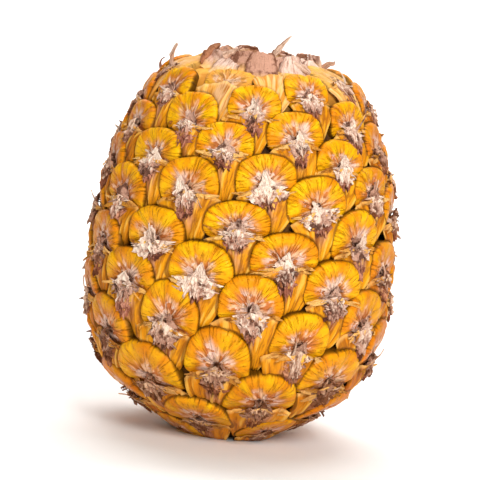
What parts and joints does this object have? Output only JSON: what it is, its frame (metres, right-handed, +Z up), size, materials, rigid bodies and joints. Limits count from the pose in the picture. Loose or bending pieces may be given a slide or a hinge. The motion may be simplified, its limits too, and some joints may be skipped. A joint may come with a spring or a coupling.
{
  "type": "pineapple",
  "caption": "Whole pineapple with its crown broken off: barrel fruit of spiral scale-like eyes, torn leaf bases on top and a flat cut stalk end to stand on.",
  "frame": {"origin": "on the surface the fruit stands on, under the middle of its outline", "axes": "+Z up along the fruit's axis from the stalk to the crown; -Y faces the camera of the picture"},
  "size_m": [0.1244, 0.1224, 0.1518],
  "materials": {
    "rind": "waxy golden-orange skin over each eye, pale grey-pink papery bract tips and dark olive-brown creases",
    "dry_leaf": "matt, dry and papery, cream to pinkish brown with torn edges",
    "cut_stalk": "matt fibrous cut, tan with a brown skin round it"
  },
  "bodies": {
    "root": {"fruit": "rind", "crown_leaf_bases": "dry_leaf", "stalk_end": "cut_stalk"}
  },
  "joints": []
}
